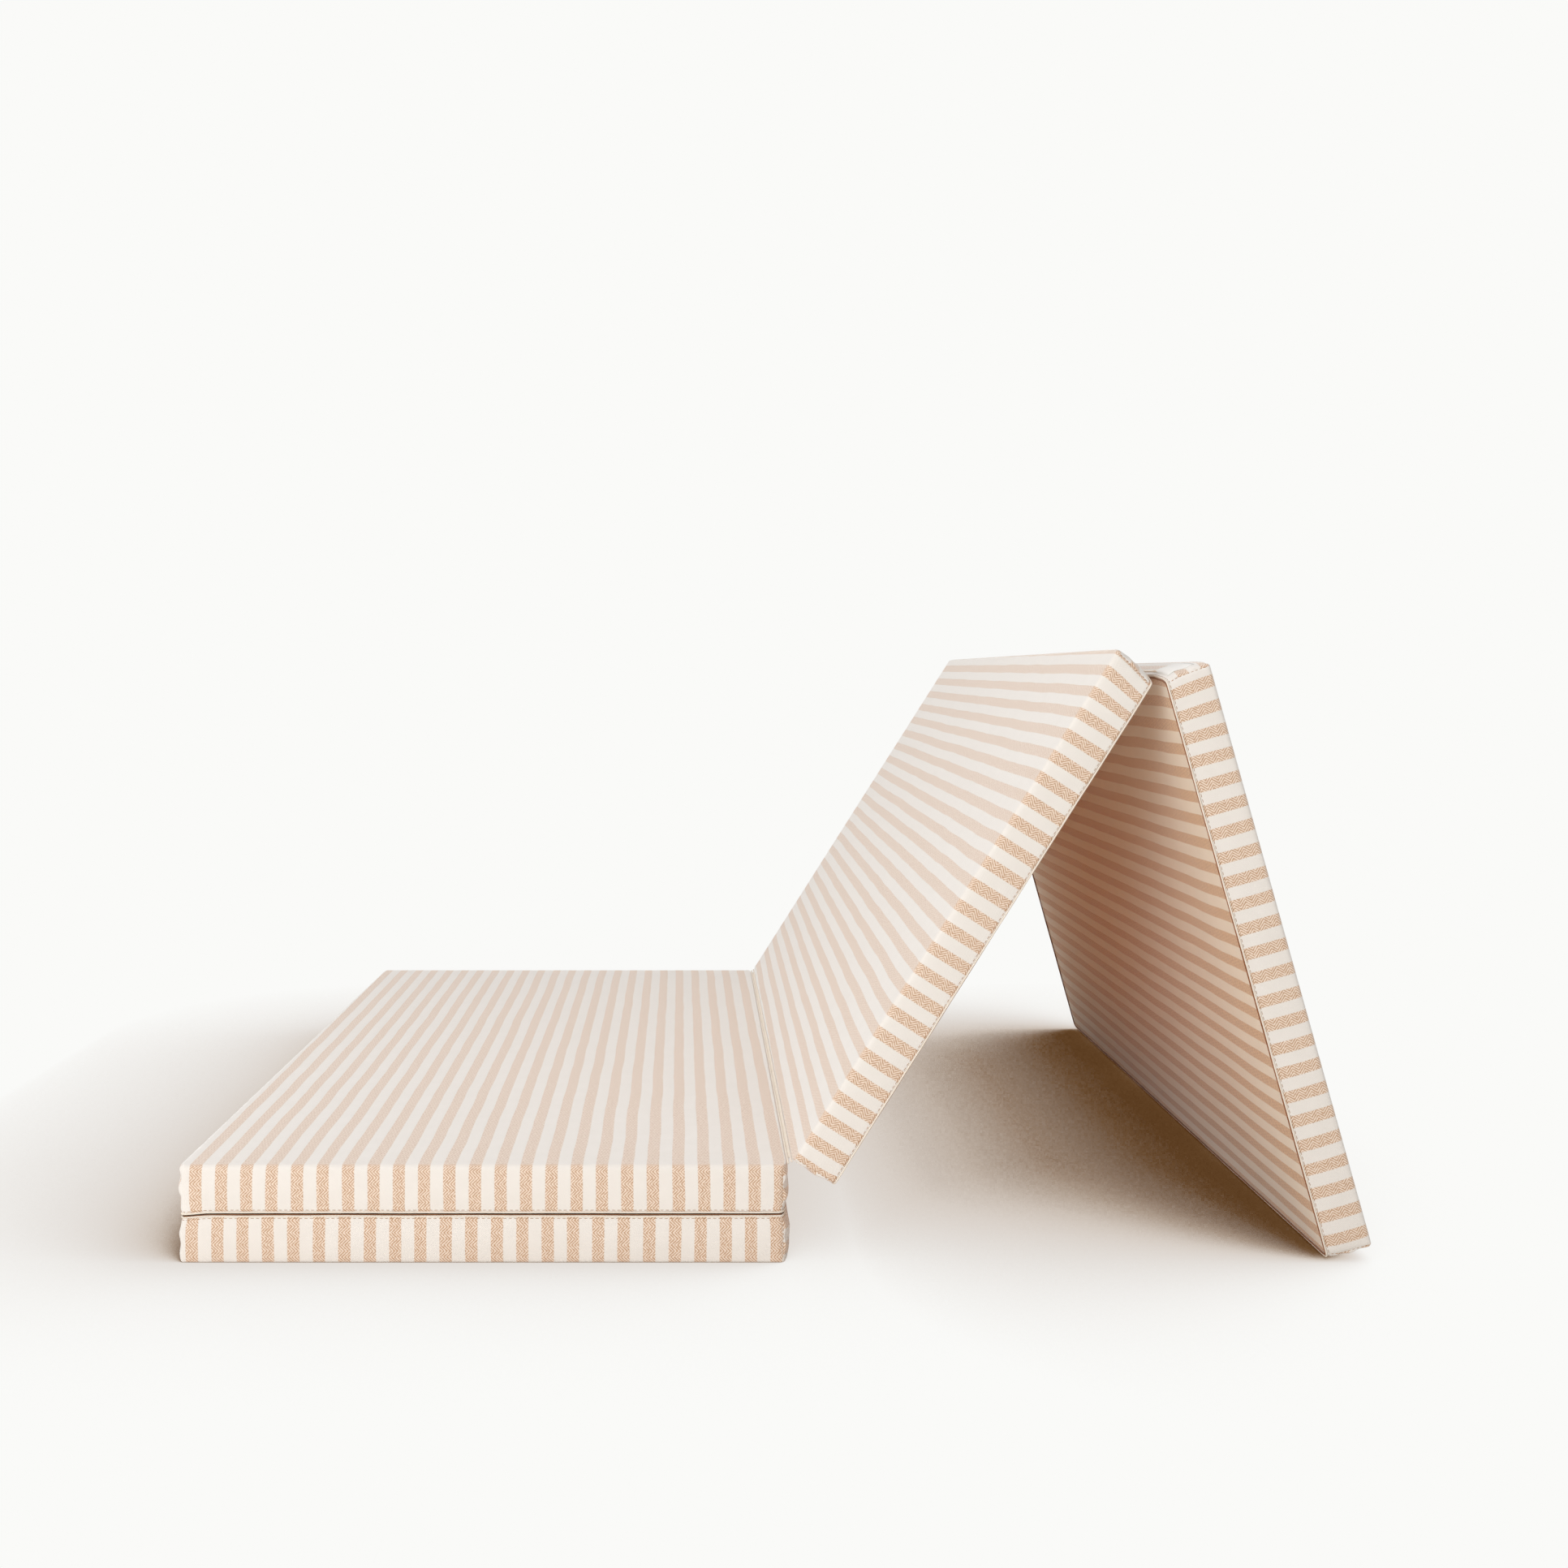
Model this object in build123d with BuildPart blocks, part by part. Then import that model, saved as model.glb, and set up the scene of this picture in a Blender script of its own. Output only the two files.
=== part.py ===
from build123d import *

import os
from math import acos, atan2, cos, degrees, hypot, radians, sin

os.makedirs("parts", exist_ok=True)

# A folding mattress of four foam sections in a sewn cover.
# Sections 1 and 2 lie stacked, sections 3 and 4 stand beside them as an A-frame.
# X runs across the folds, Y along the hinges and away from the front, Z up.
# The origin is the centre of section 1's underside.

# Sections, measured over the cover
panel_width = 500.0
panel_depth = 1000.0
panel_thickness = 39.6
corner_radius = 9.0
edge_radius = 5.0

# Pose at rest: how steeply section 3 leans, in degrees above the floor
lean_angle = 57.6

# Cover cloth, quilted on a thin backing
cloth = 1.2

# Raised seam lip round the sewn-on face
lip_height = 0.6
lip_inset = 3.0
lip_overhang = 1.0
lip_skirt = 2.2

# Upright corner seams on the end faces
corner_seam_width = 1.6
corner_seam_height = 0.6
corner_seam_gap = 1.2

# Folds: the space between neighbouring ends laid flat, and between faces folded shut
end_gap = 4.0
fold_gap = 0.6
leaf_gap = 0.15
base_leaf_width = 10.0

# Foam block inside the cover
foam_ease = 0.4
zip_room = 3.3

# Zip in the rear side
zip_window_height = 12.4
zip_end_margin = 54.0
tape_thickness = 0.6
tape_width = 11.0
tape_tail = 12.0
tooth_pitch = 5.0
tooth_width = 2.6
tooth_length = 1.4
tooth_thickness = 2.0
bead_width = 1.2
zip_slot = 1.3
stop_length = 2.6
stop_height = 3.4
window_end = 1.5

# Zip slider: two plates on a neck, with a bridge for the pull
slider_clearance = 0.3
slider_length = 12.0
slider_front_width = 10.8
slider_flange = 0.9
slider_corner = 1.8
top_plate = 1.1
bottom_plate = 0.9
neck_width = 0.8
neck_length = 3.4
flange_share = 0.62
bridge_width = 1.6
bridge_opening = 4.4
bridge_foot = 1.3
bridge_top = 0.9
bridge_round = 0.8

# Zip pull
pull_bar_radius = 0.6
pull_length = 26.0
pull_width = 6.6
pull_window_length = 4.6
pull_end_radius = 2.6
pull_grip_length = 9.0
pull_grip_width = 2.4
pull_grip_offset = 4.5

# One overrun serves every cut
overrun = 2.0

# Places worked out from the sizes above
half_width = panel_width / 2
half_depth = panel_depth / 2
wall_height = panel_thickness - lip_height - cloth
fold_half = fold_gap / 2
base_fold_offset = lip_height + fold_half
axis_reach = end_gap / 2
lean = radians(lean_angle)

# Distances up and along section 3, as unit directions in the X-Z plane
lean_up = Vector(cos(lean), 0, sin(lean))
lean_out = Vector(-sin(lean), 0, cos(lean))

axis_1_2 = Vector(-half_width - axis_reach, 0, panel_thickness + fold_half)
stack_top = panel_thickness + fold_gap + panel_thickness
axis_2_3 = Vector(half_width + axis_reach, 0, stack_top + base_fold_offset)
axis_3_4 = (
    axis_2_3
    + lean_up * (panel_width + end_gap)
    - lean_out * (base_fold_offset + panel_thickness + fold_half)
)

# Section 4 hangs from the peak until its lip meets the floor
foot_reach = axis_reach + panel_width + lip_overhang
steep = acos(axis_3_4.Z / hypot(foot_reach, fold_half)) - atan2(fold_half, foot_reach)
steep_down = Vector(sin(steep), 0, -cos(steep))
steep_out = Vector(cos(steep), 0, sin(steep))

# Each section's frame: the origin is the middle of its base cloth, X points from the
# end hinged on the sewn-on face to the other end, and Z from base cloth to sewn-on face.
centre_3 = axis_2_3 + lean_up * (axis_reach + half_width) - lean_out * base_fold_offset
centre_4 = (
    axis_3_4
    + steep_down * (axis_reach + half_width)
    + steep_out * (fold_half + panel_thickness)
)
frames = {
    1: Plane(origin=(0, 0, 0), x_dir=(1, 0, 0), z_dir=(0, 0, 1)),
    2: Plane(origin=(0, 0, stack_top), x_dir=(1, 0, 0), z_dir=(0, 0, -1)),
    3: Plane(origin=centre_3, x_dir=lean_up * -1, z_dir=lean_out * -1),
    4: Plane(origin=centre_4, x_dir=steep_down, z_dir=steep_out * -1),
}

# Zip levels, counted outwards from the rear side's outer face
tape_top = -cloth
tape_bottom = tape_top - tape_thickness
tape_middle = (tape_top + tape_bottom) / 2
tooth_top = tape_middle + tooth_thickness / 2
tooth_bottom = tape_middle - tooth_thickness / 2
top_plate_under = tooth_top + slider_clearance
top_plate_over = top_plate_under + top_plate
bottom_plate_over = tooth_bottom - slider_clearance
bottom_plate_under = bottom_plate_over - bottom_plate
pull_level = top_plate_over + slider_clearance + pull_bar_radius
bridge_inside = 2 * (slider_clearance + pull_bar_radius)

# Zip widths and places along the chain, counted from its middle towards the closed end
slot_half = zip_slot / 2
row_outer = slot_half + tooth_length + bead_width
slider_half_width = row_outer + slider_clearance + slider_flange
zip_chain_length = panel_width - 2 * zip_end_margin
chain_end = zip_chain_length / 2
slider_place = chain_end - slider_clearance - slider_length / 2
slider_travel = zip_chain_length - slider_length - 2 * slider_clearance
stops_length = zip_chain_length + 2 * stop_length
window_length = stops_length + 2 * window_end
tooth_count = int((zip_chain_length - tooth_width) // tooth_pitch)


def shifted(frame, x, y, z, x_dir=(1, 0, 0), z_dir=(0, 0, 1)):
    """A plane at a place in a frame, turned by directions given in that frame."""
    origin = frame.from_local_coords((x, y, z))
    base = frame.from_local_coords((0, 0, 0))
    along = frame.from_local_coords(x_dir) - base
    normal = frame.from_local_coords(z_dir) - base
    return Plane(origin=origin, x_dir=along, z_dir=normal)


def zip_frame(frame):
    """The rear side's frame: X to the zip's closed end, Z outwards, at mid height."""
    rear = 1 if frame.y_dir.Y > 0 else -1
    level = (panel_thickness - lip_height) / 2
    return shifted(frame, 0, rear * half_depth, level, (-1, 0, 0), (0, rear, 0))


def save(builder, name):
    """Labels a finished piece and writes it."""
    builder.part.label = name
    export_step(builder.part, f"parts/{name}.step")


def make_foam_core(number, frame):
    """The cut foam block, a little short at the rear where the zip runs."""
    rear = 1 if frame.y_dir.Y > 0 else -1
    width = panel_width - 2 * (cloth + foam_ease)
    depth = panel_depth - 2 * (cloth + foam_ease) - zip_room
    corner = corner_radius - cloth - foam_ease
    base = shifted(frame, 0, -rear * zip_room / 2, cloth)
    up = Axis(base.origin, base.z_dir)
    with BuildPart() as foam_core:
        with BuildSketch(base):
            RectangleRounded(width, depth, corner)
        extrude(amount=wall_height - cloth)
        fillet(foam_core.faces().sort_by(up)[0].edges(), edge_radius - cloth)
    save(foam_core, f"foam_core_{number}")


def make_cover_tray(number, frame):
    """Base cloth and four sides in one, open to the sewn-on face, with the zip's window."""
    up = Axis(frame.origin, frame.z_dir)
    with BuildPart() as cover_tray:
        with BuildSketch(frame):
            RectangleRounded(panel_width, panel_depth, corner_radius)
        extrude(amount=wall_height)
        fillet(cover_tray.faces().sort_by(up)[0].edges(), edge_radius)
        offset(amount=-cloth, openings=cover_tray.faces().sort_by(up)[-1])
        with BuildSketch(zip_frame(frame).offset(overrun)):
            RectangleRounded(window_length, zip_window_height, slider_corner)
        extrude(amount=-(overrun + cloth + overrun), mode=Mode.SUBTRACT)
    save(cover_tray, f"cover_tray_{number}")


def make_cover_face(number, frame):
    """The sewn-on cloth of the other broad side, laid on the tray's rim and the foam."""
    with BuildPart() as cover_face:
        with BuildSketch(frame.offset(wall_height)):
            RectangleRounded(panel_width, panel_depth, corner_radius)
        extrude(amount=cloth)
    save(cover_face, f"cover_face_{number}")


def make_seam_lip(number, frame):
    """The turned seam round the face, left out along the hinged end, where the leaf takes over."""
    outer_radius = corner_radius + lip_overhang
    cut_length = panel_depth - 2 * corner_radius
    cut_width = lip_overhang + lip_inset + overrun
    cut_centre = -half_width + lip_inset - cut_width / 2
    with BuildPart() as seam_lip:
        with BuildSketch(frame.offset(panel_thickness)):
            RectangleRounded(
                panel_width + 2 * lip_overhang, panel_depth + 2 * lip_overhang, outer_radius
            )
            RectangleRounded(
                panel_width - 2 * lip_inset,
                panel_depth - 2 * lip_inset,
                corner_radius - lip_inset,
                mode=Mode.SUBTRACT,
            )
        extrude(amount=-lip_height)
        with BuildSketch(frame.offset(panel_thickness - lip_height)):
            RectangleRounded(
                panel_width + 2 * lip_overhang, panel_depth + 2 * lip_overhang, outer_radius
            )
            RectangleRounded(panel_width, panel_depth, corner_radius, mode=Mode.SUBTRACT)
        extrude(amount=-lip_skirt)
        with BuildSketch(shifted(frame, cut_centre, 0, panel_thickness + overrun)):
            Rectangle(cut_width, cut_length)
        extrude(amount=-(overrun + lip_height + lip_skirt + overrun), mode=Mode.SUBTRACT)
    save(seam_lip, f"seam_lip_{number}")


def make_corner_seams(number, frame):
    """Four upright ridges on the end faces, just inside the rounded corners."""
    bottom = edge_radius
    top = panel_thickness - lip_height - lip_skirt - corner_seam_gap
    spread = panel_depth - 2 * corner_radius - corner_seam_width
    with BuildPart() as corner_seams:
        for end in (-1, 1):
            side = shifted(frame, end * half_width, 0, (bottom + top) / 2, (0, 1, 0), (end, 0, 0))
            with BuildSketch(side):
                with GridLocations(spread, 0, 2, 1):
                    Rectangle(corner_seam_width, top - bottom)
            extrude(amount=corner_seam_height)
    save(corner_seams, f"corner_seams_{number}")


def make_face_leaf(number, frame):
    """Hinge tape leaf on the sewn-on face: it carries the lip on to just short of the axis."""
    inner = -half_width + lip_inset
    outer = -half_width - axis_reach + leaf_gap
    with BuildPart() as hinge_leaf:
        with BuildSketch(shifted(frame, (inner + outer) / 2, 0, panel_thickness)):
            Rectangle(inner - outer, panel_depth - 2 * corner_radius)
        extrude(amount=-lip_height)
    save(hinge_leaf, f"hinge_leaf_face_{number}")


def make_base_leaf(number, frame):
    """Hinge tape leaf on the base cloth of sections 2 and 3."""
    inner = half_width - base_leaf_width
    outer = half_width + axis_reach - leaf_gap
    with BuildPart() as hinge_leaf:
        with BuildSketch(shifted(frame, (inner + outer) / 2, 0, 0)):
            Rectangle(outer - inner, panel_depth - 2 * corner_radius)
        extrude(amount=-lip_height)
    save(hinge_leaf, f"hinge_leaf_base_{number}")


def make_zip_tapes(number, side):
    """The two woven tapes, sewn behind the window's edges and butting on the tooth rows."""
    with BuildPart() as zip_tapes:
        with BuildSketch(side.offset(tape_top)):
            with GridLocations(0, 2 * row_outer + tape_width, 1, 2):
                Rectangle(window_length + 2 * tape_tail, tape_width)
        extrude(amount=-tape_thickness)
    save(zip_tapes, f"zip_tapes_{number}")


def make_zip_teeth(number, side):
    """Two rows of teeth on their beads, half a pitch apart, with a slot for the slider's neck."""
    first = -(tooth_count - 1) * tooth_pitch / 2
    bead_centre = row_outer - bead_width / 2
    tooth_centre = slot_half + tooth_length / 2
    with BuildPart() as zip_teeth:
        with BuildSketch(side.offset(tooth_top)):
            with GridLocations(0, 2 * bead_centre, 1, 2):
                Rectangle(zip_chain_length, bead_width)
            for row in (-1, 1):
                shift = row * tooth_pitch / 4
                places = [
                    (first + index * tooth_pitch + shift, row * tooth_centre)
                    for index in range(tooth_count)
                ]
                with Locations(*places):
                    Rectangle(tooth_width, tooth_length)
        extrude(amount=-tooth_thickness)
    save(zip_teeth, f"zip_teeth_{number}")


def make_zip_stops(number, side):
    """Two top stops past the closed end of the rows, and one bottom stop across both."""
    stop_centre = chain_end + stop_length / 2
    row_width = row_outer - slot_half
    with BuildPart() as zip_stops:
        with BuildSketch(side.offset(tape_middle + stop_height / 2)):
            with Locations((stop_centre, slot_half + row_width / 2), (stop_centre, -slot_half - row_width / 2)):
                Rectangle(stop_length, row_width)
            with Locations((-stop_centre, 0)):
                Rectangle(stop_length, 2 * row_outer)
        extrude(amount=-stop_height)
    save(zip_stops, f"zip_stops_{number}")


def slider_outline():
    """Shield shape of the slider's plates: wide at the mouths, narrower where the chain leaves."""
    front = slider_length / 2
    half_front = slider_front_width / 2
    waist = front - neck_length - slider_corner
    with BuildSketch(mode=Mode.PRIVATE) as shield:
        with BuildLine():
            Polyline(
                (-front, slider_half_width),
                (waist, slider_half_width),
                (front - slider_corner, half_front),
                (front, half_front),
                (front, -half_front),
                (front - slider_corner, -half_front),
                (waist, -slider_half_width),
                (-front, -slider_half_width),
                close=True,
            )
        make_face()
        fillet(shield.vertices().group_by(Axis.X)[0], slider_corner)
    return shield.sketch


def make_zip_slider(number, side):
    """Two plates joined by the neck in the slot, with flanges over the rows and a bridge on top."""
    place = shifted(side, slider_place, 0, 0)
    flange_length = slider_length * flange_share
    flange_centre = (flange_length - slider_length) / 2
    flange_across = slider_half_width - slider_flange / 2
    bridge_length = bridge_opening + 2 * bridge_foot
    bridge_height = bridge_inside + bridge_top
    with BuildPart() as zip_slider:
        with BuildSketch(place.offset(top_plate_under)):
            add(slider_outline())
        extrude(amount=top_plate)
        with BuildSketch(place.offset(bottom_plate_over)):
            add(slider_outline())
        extrude(amount=-bottom_plate)
        with BuildSketch(shifted(place, (slider_length - neck_length) / 2, 0, bottom_plate_over)):
            Rectangle(neck_length, neck_width)
        extrude(amount=top_plate_under - bottom_plate_over)
        with BuildSketch(place.offset(top_plate_under)):
            with Locations((flange_centre, flange_across), (flange_centre, -flange_across)):
                Rectangle(flange_length, slider_flange)
        extrude(amount=-(top_plate_under - tape_top - slider_clearance))
        with BuildSketch(place.offset(bottom_plate_over)):
            with Locations((flange_centre, flange_across), (flange_centre, -flange_across)):
                Rectangle(flange_length, slider_flange)
        extrude(amount=tape_bottom - slider_clearance - bottom_plate_over)
        arch = shifted(place, 0, bridge_width / 2, top_plate_over, (1, 0, 0), (0, 1, 0))
        with BuildSketch(arch) as bridge:
            with Locations((0, -bridge_height / 2)):
                Rectangle(bridge_length, bridge_height)
            fillet(bridge.vertices().group_by(Axis(arch.origin, arch.y_dir))[0], bridge_round)
            with Locations((0, -bridge_inside / 2)):
                Rectangle(bridge_opening, bridge_inside, mode=Mode.SUBTRACT)
        extrude(amount=-bridge_width)
    save(zip_slider, f"zip_slider_{number}")


def make_zip_pull(number, side):
    """The pull tab: a round bar through the bridge, two arms beside it and a pierced grip."""
    place = shifted(side, slider_place, 0, pull_level)
    window_width = bridge_width + 2 * slider_clearance
    window_centre = -(pull_bar_radius + pull_window_length / 2)
    grip_centre = -(pull_length - pull_grip_offset - pull_grip_length / 2)
    edge = shifted(place, 0, pull_width / 2, 0, (1, 0, 0), (0, 1, 0))
    with BuildPart() as zip_pull:
        with BuildSketch(edge):
            Circle(pull_bar_radius)
            with Locations((-pull_length / 2, 0)):
                Rectangle(pull_length, 2 * pull_bar_radius)
        extrude(amount=-pull_width)
        far_end = zip_pull.edges().filter_by(Axis(place.origin, place.z_dir))
        fillet(far_end.group_by(Axis(place.origin, place.x_dir))[0], pull_end_radius)
        with BuildSketch(place.offset(pull_bar_radius + overrun)):
            with Locations((window_centre, 0)):
                Rectangle(pull_window_length, window_width)
            with Locations((grip_centre, 0)):
                SlotOverall(pull_grip_length, pull_grip_width)
        extrude(amount=-2 * (pull_bar_radius + overrun), mode=Mode.SUBTRACT)
    save(zip_pull, f"zip_pull_{number}")


for number, frame in frames.items():
    rear_side = zip_frame(frame)
    make_foam_core(number, frame)
    make_cover_tray(number, frame)
    make_cover_face(number, frame)
    make_seam_lip(number, frame)
    make_corner_seams(number, frame)
    make_face_leaf(number, frame)
    make_zip_tapes(number, rear_side)
    make_zip_teeth(number, rear_side)
    make_zip_stops(number, rear_side)
    make_zip_slider(number, rear_side)
    make_zip_pull(number, rear_side)

for number in (2, 3):
    make_base_leaf(number, frames[number])

# Joint data for whoever assembles it: places in mm, the angle in degrees
print("axis_1_2", *axis_1_2)
print("axis_2_3", *axis_2_3)
print("axis_3_4", *axis_3_4)
print("closing_3_4", 90 + degrees(steep) - lean_angle)
print("slider_travel", slider_travel)
for number, frame in frames.items():
    rear_side = zip_frame(frame)
    print(f"zip_{number}_opens", *frame.x_dir)
    print(f"pull_{number}_axis", *rear_side.y_dir)
    print(f"pull_{number}_place", *rear_side.from_local_coords((slider_place, 0, pull_level)))
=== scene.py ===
"""Looks of a folding futon mattress: four padded sections in a striped ticking cover.

All lengths are millimetres until a mesh is placed, where METRE turns them into metres.
A section's own axes are x from its face hinge to its other end, y from front to rear,
and z from the base cloth (0) to the sewn-on face.
"""

import logging
from dataclasses import dataclass, replace
from enum import Enum
from math import atan2, cos, exp, hypot, pi, sin, tau
from typing import Any

import bmesh
import bpy
from mathutils import Matrix, Vector, noise


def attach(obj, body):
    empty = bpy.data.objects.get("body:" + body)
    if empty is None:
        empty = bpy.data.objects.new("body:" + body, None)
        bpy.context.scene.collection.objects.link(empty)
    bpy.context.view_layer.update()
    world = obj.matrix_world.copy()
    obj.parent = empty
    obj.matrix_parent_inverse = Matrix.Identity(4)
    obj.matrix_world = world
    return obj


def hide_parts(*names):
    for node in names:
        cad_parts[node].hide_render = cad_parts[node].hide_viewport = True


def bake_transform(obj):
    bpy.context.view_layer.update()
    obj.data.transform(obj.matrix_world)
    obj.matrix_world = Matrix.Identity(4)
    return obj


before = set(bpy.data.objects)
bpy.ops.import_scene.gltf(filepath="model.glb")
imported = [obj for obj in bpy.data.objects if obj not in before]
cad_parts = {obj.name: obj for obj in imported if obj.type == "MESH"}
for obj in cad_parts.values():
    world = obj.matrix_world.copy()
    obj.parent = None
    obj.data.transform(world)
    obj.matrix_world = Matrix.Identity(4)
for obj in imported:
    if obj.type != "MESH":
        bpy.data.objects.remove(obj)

log = logging.getLogger("futon")

METRE = 0.001
HALF_WIDTH = 250.0
HALF_DEPTH = 500.0
COVER_HEIGHT = 39.0
HINGE_REACH = 252.0  # from a section's middle to a fold's axis
HINGE_RISE = 0.9  # from the cloth to a fold's axis
STRIPE_REPEAT = 20.45
SAND_WIDTH = 9.9
TOUCH = 1e-3  # how near counts as on a plane
WELD = 1e-4  # how near counts as one point
RIM_STEPS = (0, 1.5, 3, 4.5, 6.5, 10, 16, 24)  # a rim's points, from each corner
RIM_PITCH = 14.0
GRID_STEPS = (1.2, 2.4, 3.4, 4.2, 5.0, 6.5, 9.5, 13.5, 19.0, 27.0)  # the block's cuts, from each end
GRID_PITCH = 13.0
SEED_STEPS = (17.3, -9.1, 31.7)  # how far the noise is moved for a seed of one

Place = tuple[float, float, float]
Pair = tuple[float, float]
Socket = bpy.types.NodeSocket
Tree = bpy.types.NodeTree
Finish = bpy.types.Material
Shape = bmesh.types.BMesh


class Side(Enum):
    """Which cloth of a section's cover a face belongs to."""

    BASE = "base"
    FACE = "face"
    GUSSET = "gusset"
    END = "end"


def linear(code: str) -> tuple[float, float, float, float]:
    """Turns an sRGB hex colour into linear values.

    Args:
        code: six hex digits, such as "e6c8a2".

    Returns:
        Red, green, blue and an alpha of one.
    """
    values = [int(code[i:i + 2], 16) / 255 for i in (0, 2, 4)]
    light = [v / 12.92 if v <= 0.04045 else ((v + 0.055) / 1.055) ** 2.4 for v in values]
    return (light[0], light[1], light[2], 1.0)


def smooth(low: float, high: float, value: float) -> float:
    """Goes from 0 at low to 1 at high with level ends.

    Args:
        low: where it starts to rise.
        high: where it reaches one.
        value: the place asked for.

    Returns:
        A share from 0 to 1.
    """
    t = min(1.0, max(0.0, (value - low) / (high - low)))
    return t * t * (3 - 2 * t)


def sign(value: float) -> int:
    """Gives 1 above zero and -1 elsewhere."""
    return 1 if value > 0 else -1


def ripple(place: Pair, lengths: Pair, seed: float, layer: float = 0.0) -> float:
    """Slow random unevenness from -1 to 1, the same on each run.

    Args:
        place: where on the cloth.
        lengths: over what lengths it changes, each way.
        seed: which unevenness.
        layer: a further move of the noise.

    Returns:
        The unevenness there.
    """
    x, y = place[0] / lengths[0], place[1] / lengths[1]
    steps = [step * seed for step in SEED_STEPS]
    return noise.noise(Vector((x + steps[0], y + steps[1], layer + steps[2])))


def even_places(reach: float, pitch: float) -> list[float]:
    """Gives places about a pitch apart from -reach to reach, with both ends."""
    count = round(2 * reach / pitch)
    return [-reach + 2 * reach * i / count for i in range(count + 1)]


def set_up(tree: Tree, node: bpy.types.Node, settings: dict[Any, Any]) -> None:
    """Gives a node its settings and links.

    Args:
        tree: the node's tree.
        node: the node.
        settings: attributes by name, and inputs by index or name; an input takes a value, or
            the output socket that feeds it.
    """
    attributes = [key for key in settings if isinstance(key, str) and hasattr(node, key)]
    for key in attributes:
        setattr(node, key, settings[key])
    for key, value in settings.items():
        if isinstance(value, Socket):
            tree.links.new(value, node.inputs[key])
        elif key not in attributes:
            node.inputs[key].default_value = value


def add(tree: Tree, kind: str, settings: dict[Any, Any] | None = None, out: int | str = 0) -> Socket:
    """Adds a shader node with its settings and links.

    Args:
        tree: the material's node tree.
        kind: the node's type, without the ShaderNode prefix.
        settings: what set_up gives it.
        out: the output that is wanted.

    Returns:
        That output's socket.
    """
    node = tree.nodes.new("ShaderNode" + kind)
    set_up(tree, node, settings or {})
    return node.outputs[out]


def blank_material(name: str) -> tuple[Finish, Tree, bpy.types.Node]:
    """Starts a material, and gives it with its node tree and its principled shader."""
    material = bpy.data.materials.new(name)
    material.use_nodes = True
    tree = material.node_tree
    return material, tree, tree.nodes["Principled BSDF"]


def seen_directly(tree: Tree) -> Socket:
    """Gives a socket that is 1 for camera, glossy and transmission rays, and 0 for the rest."""
    path = add(tree, "LightPath").node
    seen = path.outputs["Is Camera Ray"]
    for ray in ("Is Glossy Ray", "Is Transmission Ray"):
        seen = add(tree, "Math", {"operation": "MAXIMUM", 0: seen, 1: path.outputs[ray]})
    return seen


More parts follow.
